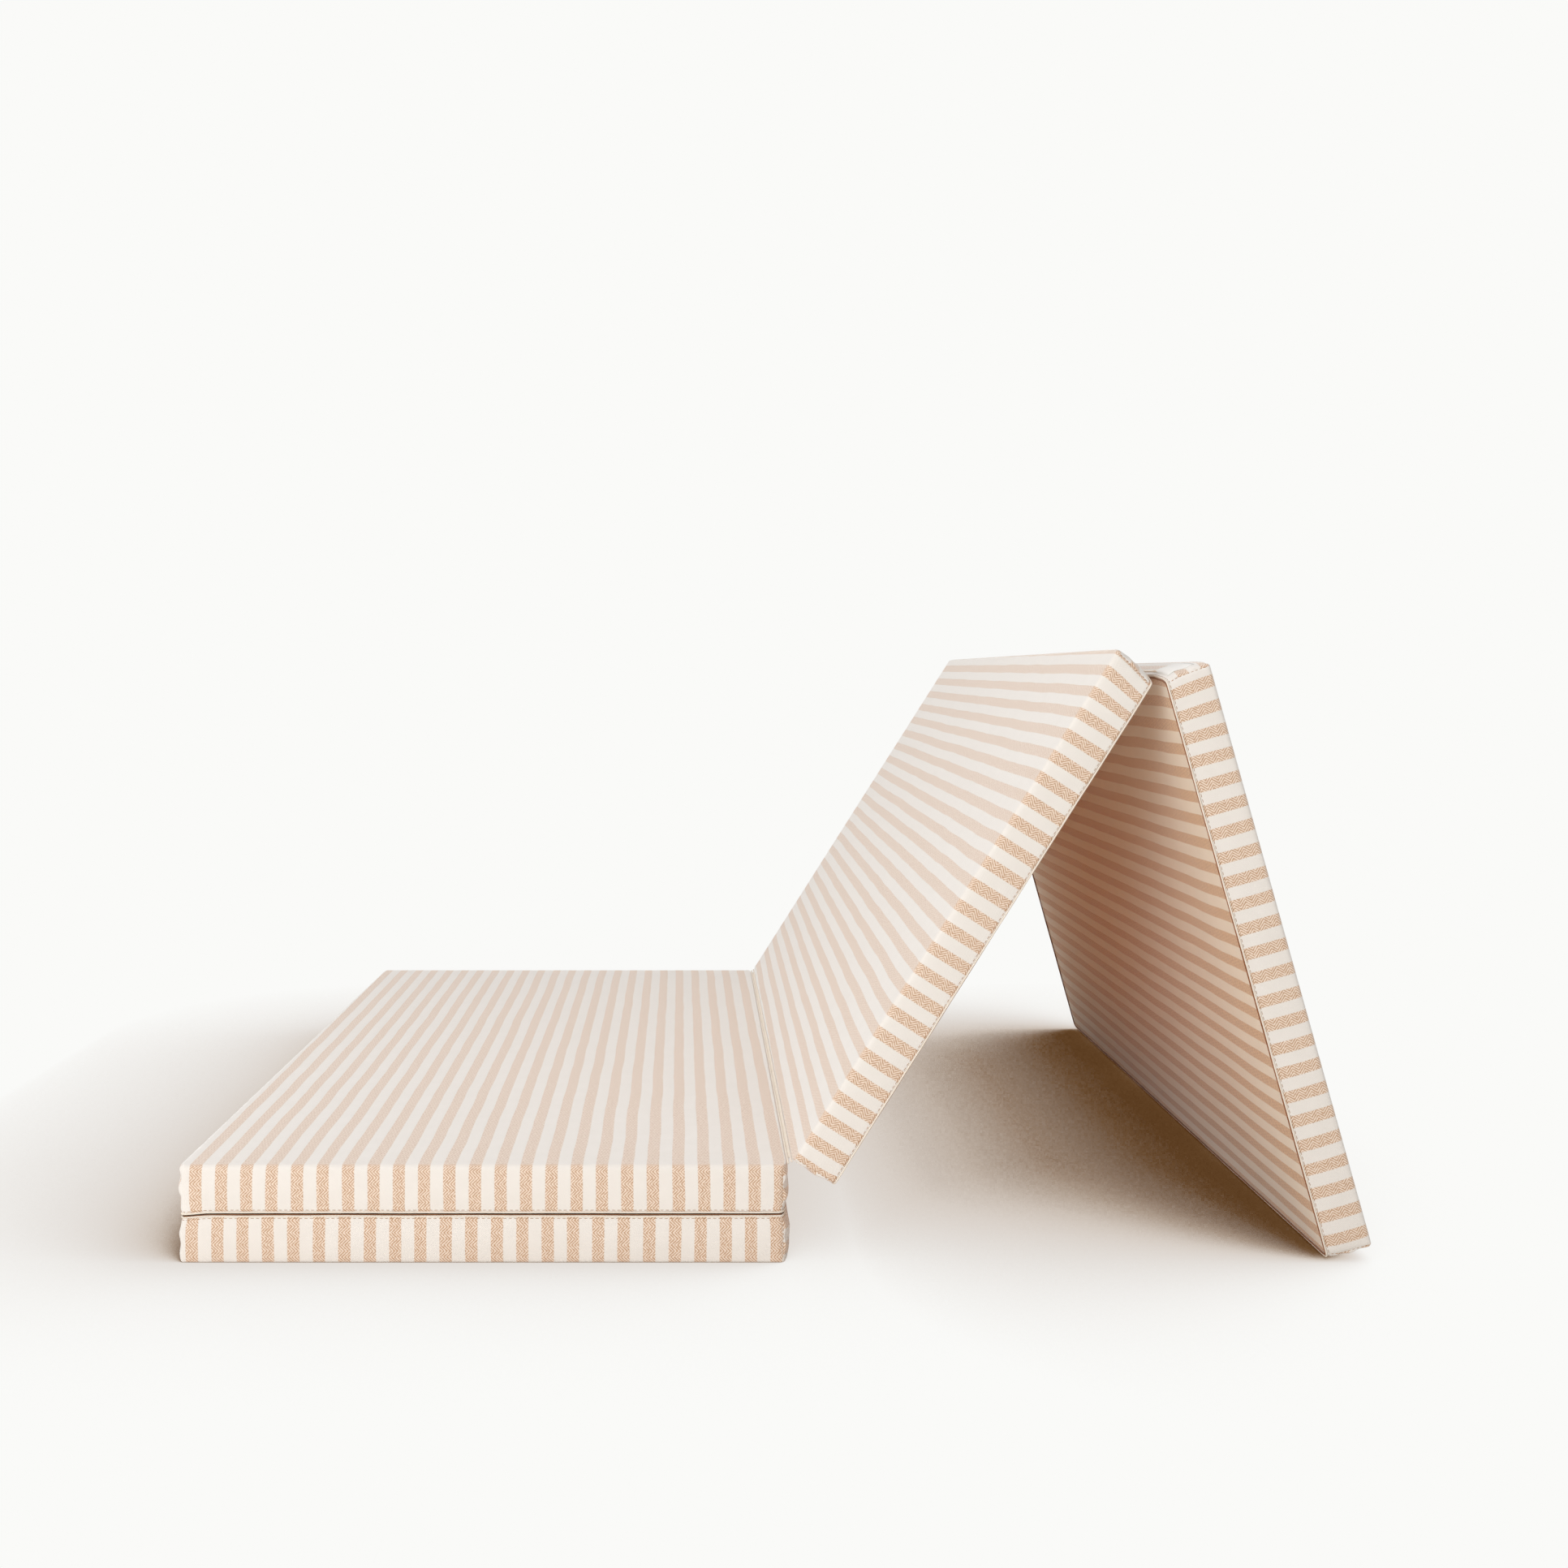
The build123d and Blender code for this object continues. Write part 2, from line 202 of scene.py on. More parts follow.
@dataclass(frozen=True)
class TwillTicking:
    """Yarn-dyed cotton ticking: herringbone sand stripes on a plain ecru ground.

    It is matt and soft. The sand stripes show slanting threads that turn about every 5 mm,
    and their edges are dotted where the two yarns cross.
    """

    name: str = "cotton_ticking"
    ecru: str = "efe9e3"
    ecru_shade: str = "e7e1da"
    sand: str = "efdccb"
    sand_thread: str = "c19d7f"
    twill_pitch: float = 2.5  # the real 1.3 mm is too fine to show, so it is drawn coarser
    turn_length: float = 5.0
    thread_pitch: float = 1.3
    wander: float = 3.0  # how far the stripes stray from straight, in all
    edge_step: float = 0.28  # how far a stripe's edge steps in and out
    edge_blur: float = 0.25
    line_strength: float = 0.6
    grain_gain: float = 2.8  # the random yarn tone starts at grain_base and rises by up to this
    grain_base: float = -0.9

    def build(self) -> Finish:
        """Makes the material; it reads the cover's own map, which is in millimetres."""
        material, tree, shader = blank_material(self.name)
        cloth = add(tree, "UVMap", {"uv_map": "cloth"})
        across = add(tree, "SeparateXYZ", {0: cloth})
        along = across.node.outputs[1]
        stray = add(tree, "TexNoise", {"Scale": 0.011, "Detail": 2.0, "Vector": cloth})
        stray = add(tree, "Math", {"operation": "MULTIPLY_ADD", 0: stray, 1: self.wander,
                                   2: -self.wander / 2})
        across = add(tree, "Math", {"operation": "ADD", 0: across, 1: stray})

        # Yarns crossing at the stripe's edge: it steps in and out with every pair of threads
        weft = add(tree, "Math", {"operation": "MULTIPLY", 0: along, 1: tau / self.thread_pitch})
        weft = add(tree, "Math", {"operation": "SINE", 0: weft})
        phase = add(tree, "Math", {"operation": "MULTIPLY_ADD", 0: weft, 1: self.edge_step, 2: across})
        phase = add(tree, "Math", {"operation": "FLOORED_MODULO", 0: phase, 1: STRIPE_REPEAT})
        phase = add(tree, "Math", {"operation": "SUBTRACT", 0: phase, 1: SAND_WIDTH / 2})
        phase = add(tree, "Math", {"operation": "ABSOLUTE", 0: phase})
        inner, outer = SAND_WIDTH / 2 - self.edge_blur, SAND_WIDTH / 2 + self.edge_blur
        inside = add(tree, "MapRange", {0: phase, 1: inner, 2: outer, 3: 1.0, 4: 0.0})

        # Herringbone: a slanting line that turns back after each turn_length along the stripe
        turn = add(tree, "Math", {"operation": "PINGPONG", 0: along, 1: self.turn_length})
        slant = add(tree, "Math", {"operation": "ADD", 0: across, 1: turn})
        lines = add(tree, "Math", {"operation": "MULTIPLY", 0: slant, 1: tau / self.twill_pitch})
        lines = add(tree, "Math", {"operation": "SINE", 0: lines})
        grain = add(tree, "TexNoise", {"Scale": 0.42, "Detail": 3.0, "Roughness": 0.75, "Vector": cloth})
        grain = add(tree, "Math", {"operation": "MULTIPLY_ADD", 0: grain, 1: self.grain_gain,
                                   2: self.grain_base})
        lines = add(tree, "Math", {"operation": "MULTIPLY_ADD", 0: lines, 1: self.line_strength, 2: grain})
        sand = add(tree, "Mix", {"data_type": "RGBA", 0: lines, 6: linear(self.sand),
                                 7: linear(self.sand_thread)}, 2)

        # Plain ground: faint slubs, and a weave that only the relief shows
        slub = add(tree, "TexNoise", {"Scale": 0.05, "Detail": 4.0, "Vector": cloth})
        ground = add(tree, "Mix", {"data_type": "RGBA", 0: slub, 6: linear(self.ecru),
                                   7: linear(self.ecru_shade)}, 2)
        colour = add(tree, "Mix", {"data_type": "RGBA", 0: inside, 6: ground, 7: sand}, 2)
        warp = add(tree, "Math", {"operation": "MULTIPLY", 0: across, 1: tau / self.thread_pitch})
        warp = add(tree, "Math", {"operation": "SINE", 0: warp})
        plain = add(tree, "Math", {"operation": "MULTIPLY", 0: warp, 1: weft})
        relief = add(tree, "Mix", {"data_type": "FLOAT", 0: inside, 2: plain, 3: lines})
        bump = add(tree, "Bump", {"Strength": 0.35, "Distance": 0.0002, "Height": relief})
        set_up(tree, shader, {"Base Color": colour, "Normal": bump, "Roughness": 0.92, "Sheen Weight": 0.8,
                              "Sheen Roughness": 0.45, "Specular IOR Level": 0.2})
        return material


@dataclass(frozen=True)
class CottonTape:
    """Folded cotton tape in the seams and folds: matt, with a fine rib across it."""

    name: str = "cotton_binding"
    light: str = "f4ebe0"
    dark: str = "e7dac9"
    rib_pitch: float = 1.4
    roughness: float = 0.9
    rib_spread: float = 3.2  # with this, the wave texture draws its slanting ribs near rib_pitch apart

    def build(self) -> Finish:
        """Makes the material on object coordinates, so it runs on over joined pieces."""
        material, tree, shader = blank_material(self.name)
        place = add(tree, "TexCoord", out="Object")
        place = add(tree, "VectorMath", {"operation": "SCALE", 0: place, "Scale": 1 / METRE})
        mottle = add(tree, "TexNoise", {"Scale": 0.12, "Detail": 3.0, "Vector": place})
        colour = add(tree, "Mix", {"data_type": "RGBA", 0: mottle, 6: linear(self.light),
                                   7: linear(self.dark)}, 2)
        scale = 1 / self.rib_pitch / self.rib_spread
        ribs = add(tree, "TexWave", {"bands_direction": "DIAGONAL", "Scale": scale, "Distortion": 0.6,
                                     "Vector": place}, 1)
        bump = add(tree, "Bump", {"Strength": 0.4, "Distance": 0.0002, "Height": ribs})
        set_up(tree, shader, {"Base Color": colour, "Normal": bump, "Roughness": self.roughness,
                              "Sheen Weight": 0.2, "Specular IOR Level": 0.2})
        return material


@dataclass(frozen=True)
class Mottled:
    """A finish of two near tones, mixed by a fine pattern that also gives its relief.

    scale is how many of the pattern's cells lie in a metre; relief is the bump's strength and its
    depth in metres; roughness runs with the pattern; more holds the shader's other values.
    """

    name: str
    tones: tuple[str, str]
    scale: float
    roughness: Pair
    relief: Pair = (0.0, 0.001)
    kind: str = "TexNoise"
    detail: float = 2.0
    more: tuple[tuple[str, float], ...] = ()

    def build(self) -> Finish:
        """Makes the material on object coordinates."""
        material, tree, shader = blank_material(self.name)
        place = add(tree, "TexCoord", out="Object")
        marks = add(tree, self.kind, {"Scale": self.scale, "Detail": self.detail, "Vector": place})
        first, second = (linear(tone) for tone in self.tones)
        colour = add(tree, "Mix", {"data_type": "RGBA", 0: marks, 6: first, 7: second}, 2)
        rough = add(tree, "MapRange", {0: marks, 3: self.roughness[0], 4: self.roughness[1]})
        strength, depth = self.relief
        bump = add(tree, "Bump", {"Strength": strength, "Distance": depth, "Height": marks})
        set_up(tree, shader, {"Base Color": colour, "Roughness": rough, "Normal": bump, **dict(self.more)})
        return material


# Cut polyurethane foam: matt, with fine open cells 1.2 mm across
FOAM = Mottled("cut_foam", ("d8c99a", "f0e7c8"), 1 / (1.2 * METRE), (0.95, 0.95), (0.5, 0.0004),
               "TexVoronoi", 0.0)
# Moulded acetal: smooth, with a soft gloss and slight unevenness
ACETAL = Mottled("moulded_acetal", ("e6dcc8", "d6c8ae"), 220.0, (0.3, 0.48), more=(("IOR", 1.48),))
# Nickel-plated zinc: satin metal with fine tumbling marks; it keeps the default IOR
NICKEL = Mottled("nickel_plated_slider", ("cfcac0", "b3ada2"), 900.0, (0.22, 0.42), (0.15, 0.0001),
                 detail=4.0, more=(("Metallic", 1.0),))


@dataclass(frozen=True)
class StudioPaper:
    """Seamless white studio paper: matt, and white to the camera wherever nothing stands near it.

    Near the object the camera sees painted shade: a glowing colour picked by ambient occlusion,
    soft and wide and brown where it is darkest; the same painted shade darkens the paper's bounce
    colour. The shade stops run from closed in to open, over a reach in metres, and the occlusion
    looks towards the front right, which leaves that side painted lighter.
    """

    name: str = "paper_with_painted_shade"
    colour: str = "f4f2ee"
    reach: float = 0.37
    # Painted shade colours on the floor, from fully occluded to open
    painted_shade_stops: tuple[tuple[float, str], ...] = (
        (0.0, "361c06"), (0.36, "4c2c0c"), (0.44, "806040"), (0.53, "cbbeb1"), (0.66, "dad1c9"),
        (0.8, "e4dfda"), (0.93, "f2f0ed"), (1.0, "fafaf8"))
    # The way the painted shade's ambient occlusion looks
    open_side: Place = (0.75, -0.45, 0.5)

    def build(self) -> Finish:
        """Makes a floor whose camera colour and bounce colour carry painted shade from ambient occlusion."""
        material, tree, shader = blank_material(self.name)
        tree.nodes.remove(shader)
        output = next(n for n in tree.nodes if n.type == "OUTPUT_MATERIAL")
        seen = seen_directly(tree)
        side = add(tree, "CombineXYZ", dict(enumerate(Vector(self.open_side).normalized())))
        near = {"samples": 16, "Distance": self.reach, "Normal": side}
        # Painted shade: ambient occlusion picks a colour that glows for the camera and darkens the bounce
        openness = add(tree, "AmbientOcclusion", near, "AO")
        ramp = add(tree, "ValToRGB", {0: openness})
        stops = ramp.node.color_ramp.elements
        for i, (place, code) in enumerate(self.painted_shade_stops):
            stop = stops[i] if i < 2 else stops.new(place)
            stop.position, stop.color = place, linear(code)
        painted_shade_glow = add(tree, "Emission", {"Color": ramp})
        painted_shade_bounce = add(tree, "Mix", {"data_type": "RGBA", "blend_type": "MULTIPLY", 0: 1.0, 6: ramp,
                                    7: linear(self.colour)}, 2)
        paper = add(tree, "BsdfDiffuse", {"Color": painted_shade_bounce})
        mixed = add(tree, "MixShader", {0: seen, 1: paper, 2: painted_shade_glow})
        set_up(tree, output, {0: mixed})
        return material


def place_object(name: str, bm: Shape, matrix: Matrix, material: Finish,
                 smooth_faces: bool = True) -> bpy.types.Object:
    """Turns a mesh under work into an object at the origin, in metres.

    Args:
        name: the piece's name.
        bm: the mesh, in a section's millimetres; it is freed.
        matrix: the section's place.
        material: the piece's finish.
        smooth_faces: whether its faces shade smoothly.

    Returns:
        The object, linked to the scene.
    """
    bmesh.ops.transform(bm, matrix=Matrix.Scale(METRE, 4) @ matrix, verts=bm.verts)
    if matrix.determinant() < 0:
        bmesh.ops.reverse_faces(bm, faces=bm.faces)
    for face in bm.faces:
        face.smooth = smooth_faces
    mesh = bpy.data.meshes.new(name)
    bm.to_mesh(mesh)
    bm.free()
    obj = bpy.data.objects.new(name, mesh)
    mesh.materials.append(material)
    bpy.context.scene.collection.objects.link(obj)
    return obj


def tube(points: list[Vector], radius: float, closed: bool) -> Shape:
    """Runs a round section along points.

    Args:
        points: the tube's middle line.
        radius: half its thickness.
        closed: whether it joins up with its start.

    Returns:
        The tube as a mesh under work.
    """
    curve = bpy.data.curves.new("run", "CURVE")
    curve.dimensions = "3D"
    curve.bevel_depth = radius
    curve.bevel_resolution = 1
    curve.use_fill_caps = not closed
    spline = curve.splines.new("POLY")
    spline.points.add(len(points) - 1)
    for target, point in zip(spline.points, points):
        target.co = (*point, 1.0)
    spline.use_cyclic_u = closed
    holder = bpy.data.objects.new("run", curve)
    mesh = bpy.data.meshes.new_from_object(holder)
    bm = bmesh.new()
    bm.from_mesh(mesh)
    bpy.data.objects.remove(holder)
    bpy.data.curves.remove(curve)
    bpy.data.meshes.remove(mesh)
    bmesh.ops.remove_doubles(bm, verts=bm.verts, dist=WELD)
    bmesh.ops.recalc_face_normals(bm, faces=bm.faces)
    return bm


def thicken(bm: Shape, thickness: float) -> None:
    """Turns an open sheet under work into a closed, outward facing one."""
    bmesh.ops.recalc_face_normals(bm, faces=bm.faces)
    bmesh.ops.solidify(bm, geom=bm.faces[:], thickness=thickness)
    bmesh.ops.recalc_face_normals(bm, faces=bm.faces)


def stitch_shape() -> bpy.types.Mesh:
    """Makes one thread stitch, a unit long each way from its middle and lying along X."""
    bm = bmesh.new()
    lying = Matrix.Rotation(pi / 2, 4, "Y")
    bmesh.ops.create_uvsphere(bm, u_segments=6, v_segments=4, radius=1.0, matrix=lying)
    mesh = bpy.data.meshes.new("stitch")
    bm.to_mesh(mesh)
    bm.free()
    return mesh


@dataclass(frozen=True)
class StitchRow:
    """A row of thread stitches: their pitch, and each one's length and half thickness."""

    pitch: float
    length: float
    radius: float

    def sew(self, bm: Shape, path: list[Vector]) -> None:
        """Adds the row along a path.

        Args:
            bm: the mesh that gets the stitches.
            path: the row's points, close together.
        """
        stitch = stitch_shape()
        waited = 0.0
        size = Matrix.Diagonal((self.length / 2, self.radius, self.radius, 1.0))
        for a, b in zip(path, path[1:]):
            run = (b - a).length
            if run < WELD:
                continue
            heading = (b - a).normalized()
            turn = heading.to_track_quat("X", "Z").to_matrix().to_4x4()
            while waited <= run:
                shape = Matrix.Translation(a + heading * waited) @ turn @ size
                stitch.transform(shape)
                bm.from_mesh(stitch)
                stitch.transform(shape.inverted())
                waited += self.pitch
            waited -= run
        bpy.data.meshes.remove(stitch)


LIP_ROW = StitchRow(4.4, 3.2, 0.22)
CORNER_ROW = StitchRow(3.6, 2.7, 0.35)
ZIP_ROW = StitchRow(4.2, 3.0, 0.3)


@dataclass(frozen=True)
class Filling:
    """How the foam fills the cloth: millimetres, and powers or shares where a comment says so."""

    fullness: float = 0.8  # a power of the walls' curve over the height
    wall_reach: float = 26.0  # how far in from a wall its swelling is felt
    corner_hold: float = 0.75  # the share of an end's swelling that its corners hold back
    end_hold: float = 24.0  # how far from a corner that is felt on an end
    side_hold: Pair = (22.0, 3.0)  # where it starts and is full on a side
    end_unevenness: float = 0.24  # a share of the swelling
    end_waves: Pair = (95.0, 30.0)
    side_unevenness: float = 0.5
    side_waves: Pair = (70.0, 26.0)
    tuck_start: float = 0.72  # a share of the height
    tuck_least: float = 0.6  # a share of the tuck, at the corners
    zip_margin: float = 12.0  # the rear side stays flat this far past the zip's window
    face_reach: float = 60.0  # how far in a broad side is full
    edge_reach: float = 14.0  # how far in its unevenness is full
    broad_waves: Pair = (85.0, 120.0)
    fine_waves: Pair = (34.0, 46.0)
    fine_share: float = 0.5
    base_unevenness: float = 0.28
    resting_unevenness: float = 0.25
    face_crown: float = 0.3
    face_unevenness: float = 0.22
    face_drop: float = 0.9  # how far the sewn-on face dips at its seam
    broad_side: float = 0.01  # a share of the height that counts as on a broad side
    pull_reach: Pair = (70.0, 45.0)  # how far along and across the face a corner draws in
    sag_reach: Pair = (30.0, 60.0)  # how far along and across it a corner hangs
    pull_rise: Pair = (-0.1, 1.0)  # shares of the height where it starts and is full
    sag_rise: Pair = (0.35, 1.0)
    tight_zone: Pair = (10.0, 2.0)  # where the base's edge turns tight near its hinged end


@dataclass(frozen=True)
class CornerSeam:
    """How an upright seam draws the cloth in and puckers it, in millimetres."""

    margin: float = 0.5  # the edges of the broad sides stay as they are
    fullness: float = 0.5  # a power of its curve over the height
    side_depth: float = 1.7
    end_depth: float = 1.4
    width: float = 1.1
    side_band: float = 6.0
    end_band: float = 3.0
    side_fold: float = 0.45
    side_wave: float = 14.5
    side_fade: float = 7.0
    fold_start: Pair = (0.6, 3.0)
    end_wave: float = 17.0
    end_slant: float = 0.08  # the turn of its folds in a millimetre along the end
    end_fade: float = 18.0


@dataclass
class Section:
    """One padded section: foam block, striped cover, seam lip, corner seams and the rear zip.

    stripe_start is where a sand stripe starts along x, repeat is the stripes' repeat there, and
    face_start and face_repeat are those of the sewn-on face. skew is how far the stripes run off
    in a millimetre of depth; end_shift moves the stripes of the two ends; rests is whether the
    base cloth lies on the floor. seam_inset is how far the corner seams stand in, and end_bulge
    how far the cloth swells, at the hinged end and at the other one; ends that meet when the
    mattress lies flat swell less. hinged_corner and far_corner are the width and depth of the
    rounded corners there. pull is how far the face's corners draw in at the hinged end, and droop
    how far the front one hangs over. tight_radius is that of a base's hinged edge, and end_tuck is
    how far an end draws in under the lip.
    """

    number: int
    origin: Vector
    along: Vector
    through: Vector
    stripe_start: float
    repeat: float = STRIPE_REPEAT
    face_start: float = -240.0
    face_repeat: float = STRIPE_REPEAT
    skew: float = 0.0
    end_shift: Pair = (0.0, 0.0)
    seam_inset: Pair = (4.2, 4.2)
    rests: bool = False
    base_radius: float = 4.2
    hinge_on_base: bool = False
    tight_radius: float = 1.5
    face_radius: float = 2.2
    hinged_corner: Pair = (5.0, 16.0)
    far_corner: Pair = (5.0, 16.0)
    pull: float = 0.0
    droop: float = 0.0
    pucker: float = 0.8
    end_bulge: Pair = (1.3, 3.0)
    end_tuck: float = 2.6
    side_bulge: float = 1.1
    crown: float = 0.55
    filling: Filling = Filling()
    seam: CornerSeam = CornerSeam()
    lip_radius: float = 0.85
    lip_flatness: float = 0.88
    lip_level: float = 38.3
    rim_drop: float = 1.2  # how far below the face the cover's outline is read for the lip
    thread_radius: float = 0.6
    fold_radius: float = 0.8
    fold_out: float = 0.75
    fold_level: float = 0.1
    fold_waver: float = 0.25
    fold_setback: float = 7.0
    row_drop: float = 2.5
    row_gap: float = 2.4  # from the zip's window to its stitch rows
    window_length: float = 400.2
    window_height: float = 12.4
    pocket_depth: float = 4.3
    foam_size: Place = (484.0, 982.0, 35.0)
    foam_shift: float = -3.0  # the block stands off the zip
    foam_radius: float = 5.0
    label_size: Pair = (23.0, 44.0)
    label_middle: Pair = (-468.0, 22.5)
    label_lift: float = 0.12
    label_thickness: float = 0.25

    @property
    def matrix(self) -> Matrix:
        """From the section's own millimetres to the object's millimetres."""
        columns = (self.along, Vector((0.0, 1.0, 0.0)), self.through, self.origin)
        rows = [[column[i] for column in columns] for i in range(3)]
        return Matrix((*rows, (0.0, 0.0, 0.0, 1.0)))

    @property
    def body(self) -> str:
        """The body that carries this section."""
        return f"panel_{self.number}"

    def inset(self, x: float) -> float:
        """How far the corner seams stand in at the end that x is on."""
        return self.seam_inset[0] if x < 0 else self.seam_inset[1]

    def side_of(self, centre: Vector) -> Side:
        """Tells which cloth the face with this middle, on the flat block, belongs to."""
        if centre.z < TOUCH:
            return Side.BASE
        if centre.z > COVER_HEIGHT - TOUCH:
            return Side.FACE
        inset = self.inset(centre.x)
        if HALF_WIDTH - abs(centre.x) < TOUCH:
            return Side.END if HALF_DEPTH - abs(centre.y) > -inset else Side.GUSSET
        return Side.END if HALF_WIDTH - abs(centre.x) < inset else Side.GUSSET

    def cloth_map(self, side: Side, point: Vector, centre: Vector) -> Pair:
        """Where a point lies on the flat cloth, in millimetres across and along the stripes.

        Args:
            side: the cloth of the face that holds the point.
            point: the point before it is shaped.
            centre: the middle of its face.

        Returns:
            The distance across the stripes, from a sand stripe's start, and along them.
        """
        if side is Side.FACE:
            return (point.x - self.face_start) * STRIPE_REPEAT / self.face_repeat, point.y
        across, along = point.x, point.y
        if side is Side.END:
            end = sign(centre.x)
            across = end * (HALF_WIDTH + point.z) - self.end_shift[0 if end < 0 else 1]
            along += (HALF_WIDTH - abs(point.x)) * sign(point.y)
        elif side is Side.GUSSET:
            end = sign(point.y)
            across += (HALF_DEPTH - abs(point.y)) * sign(point.x)
            along = end * (HALF_DEPTH + point.z)
        across += self.skew * (min(HALF_DEPTH, max(-HALF_DEPTH, along)) + HALF_DEPTH)
        return (across - self.stripe_start) * STRIPE_REPEAT / self.repeat, along

    def shaped(self, flat: Vector) -> Vector:
        """Gives the place on the filled cover of a point of the flat block."""
        p = flat.copy()
        self.round_edges(p)
        self.round_corners(p)
        self.fill_walls(flat, p)
        self.fill_faces(flat, p)
        self.pinch_corners(flat, p)
        self.slacken_corners(flat, p)
        return p

    def round_edges(self, p: Vector) -> None:
        """Rounds the long edges between the broad sides and the walls, in place."""
        low = p.z < COVER_HEIGHT / 2
        radius = self.base_radius if low else self.face_radius
        if low and self.hinge_on_base and p.x > 0:
            near = smooth(*self.filling.tight_zone, HALF_WIDTH - p.x)
            radius += (self.tight_radius - radius) * near
        x_in = max(0.0, radius - (HALF_WIDTH - abs(p.x))) / radius
        y_in = max(0.0, radius - (HALF_DEPTH - abs(p.y))) / radius
        height = p.z if low else COVER_HEIGHT - p.z
        z_in = max(0.0, radius - height) / radius
        plan = max(x_in, y_in)
        reach = hypot(plan, z_in)
        if min(plan, z_in) <= 0 or reach <= 0:
            return
        share = max(plan, z_in) / reach
        if x_in > 0:
            p.x = sign(p.x) * (HALF_WIDTH - radius + radius * x_in * share)
        if y_in > 0:
            p.y = sign(p.y) * (HALF_DEPTH - radius + radius * y_in * share)
        height = radius - radius * z_in * share
        p.z = height if low else COVER_HEIGHT - height

    def round_corners(self, p: Vector) -> None:
        """Rounds the plan's four corners, further along the ends than along the sides, in place."""
        wide, deep = self.hinged_corner if p.x < 0 else self.far_corner
        x_in = (abs(p.x) - (HALF_WIDTH - wide)) / wide
        y_in = (abs(p.y) - (HALF_DEPTH - deep)) / deep
        if min(x_in, y_in) <= 0:
            return
        share = max(x_in, y_in) / hypot(x_in, y_in)
        p.x = sign(p.x) * (HALF_WIDTH - wide + wide * x_in * share)
        p.y = sign(p.y) * (HALF_DEPTH - deep + deep * y_in * share)

    def fill_walls(self, flat: Vector, p: Vector) -> None:
        """Swells the ends and sides, and tucks the ends in under the seam lip, in place."""
        fill = self.filling
        height = flat.z / COVER_HEIGHT
        swell = sin(pi * height) ** fill.fullness if 0 < height < 1 else 0.0
        end = sign(flat.x)
        near_end = 1 - smooth(0, fill.wall_reach, HALF_WIDTH - abs(flat.x))
        keep = 1 - fill.corner_hold * smooth(HALF_DEPTH - fill.end_hold, HALF_DEPTH, abs(flat.y))
        drift = fill.end_unevenness * ripple((flat.y, flat.z), fill.end_waves, self.number + 0.1 * end)
        bulge = self.end_bulge[0 if end < 0 else 1] * (1 + drift) * swell * keep
        tuck = self.end_tuck * smooth(fill.tuck_start, 1.0, height)
        tuck *= fill.tuck_least + (1 - fill.tuck_least) * keep
        p.x += end * near_end * (bulge - tuck)
        side = sign(flat.y)
        near_side = 1 - smooth(0, fill.wall_reach, HALF_DEPTH - abs(flat.y))
        if side > 0 and abs(flat.x) < self.window_length / 2 + fill.zip_margin:
            near_side = 0.0
        start, full = fill.side_hold
        keep = 1 - smooth(HALF_WIDTH - start, HALF_WIDTH - full, abs(flat.x))
        seed = self.number + 0.3 * side
        drift = fill.side_unevenness * ripple((flat.x, flat.z), fill.side_waves, seed, 4.0)
        p.y += side * near_side * (self.side_bulge + drift) * swell * keep

    def fill_faces(self, flat: Vector, p: Vector) -> None:
        """Crowns the broad sides a little and lets them be uneven, in place."""
        fill = self.filling
        inward = min(HALF_WIDTH - abs(flat.x), HALF_DEPTH - abs(flat.y))
        full = smooth(0, fill.face_reach, inward)
        at_edge = smooth(0, fill.edge_reach, inward)
        uneven = ripple((flat.x, flat.y), fill.broad_waves, self.number)
        uneven += fill.fine_share * ripple((flat.x, flat.y), fill.fine_waves, self.number + 5)
        height = flat.z / COVER_HEIGHT
        if height < fill.broad_side:
            lift = self.crown * full + fill.base_unevenness * uneven * at_edge
            if self.rests:
                lift = min(0.0, fill.resting_unevenness * uneven * full)
            p.z -= lift
        elif height > 1 - fill.broad_side:
            p.z += fill.face_crown * full - fill.face_drop * (1 - full)
            p.z += fill.face_unevenness * uneven * at_edge

    def pinch_corners(self, flat: Vector, p: Vector) -> None:
        """Draws the cloth in along the upright corner seams and puckers it beside them, in place."""
        pinch = self.seam
        if not pinch.margin < flat.z < COVER_HEIGHT - pinch.margin:
            return
        end = sign(flat.x)
        side = sign(flat.y)
        seam = HALF_WIDTH - self.inset(flat.x)
        keep = sin(pi * flat.z / COVER_HEIGHT) ** pinch.fullness
        if HALF_DEPTH - abs(flat.y) < pinch.side_band and seam < HALF_WIDTH:
            off = abs(flat.x) - seam
            p.y -= side * pinch.side_depth * keep * exp(-(off / pinch.width) ** 2)
            fold = sin(tau * flat.z / pinch.side_wave + 2.0 * self.number + side)
            fold *= smooth(*pinch.fold_start, abs(off)) * exp(-abs(off) / pinch.side_fade)
            p.y += side * pinch.side_fold * fold * keep
        if HALF_WIDTH - abs(flat.x) < pinch.end_band:
            off = HALF_DEPTH - abs(flat.y)
            if seam > HALF_WIDTH:
                p.x -= end * pinch.end_depth * keep * exp(-((off + HALF_WIDTH - seam) / pinch.width) ** 2)
            fold = sin(tau * flat.z / pinch.end_wave + 1.3 * self.number + 2 * end + pinch.end_slant * off)
            p.x += end * self.pucker * fold * keep * exp(-off / pinch.end_fade)

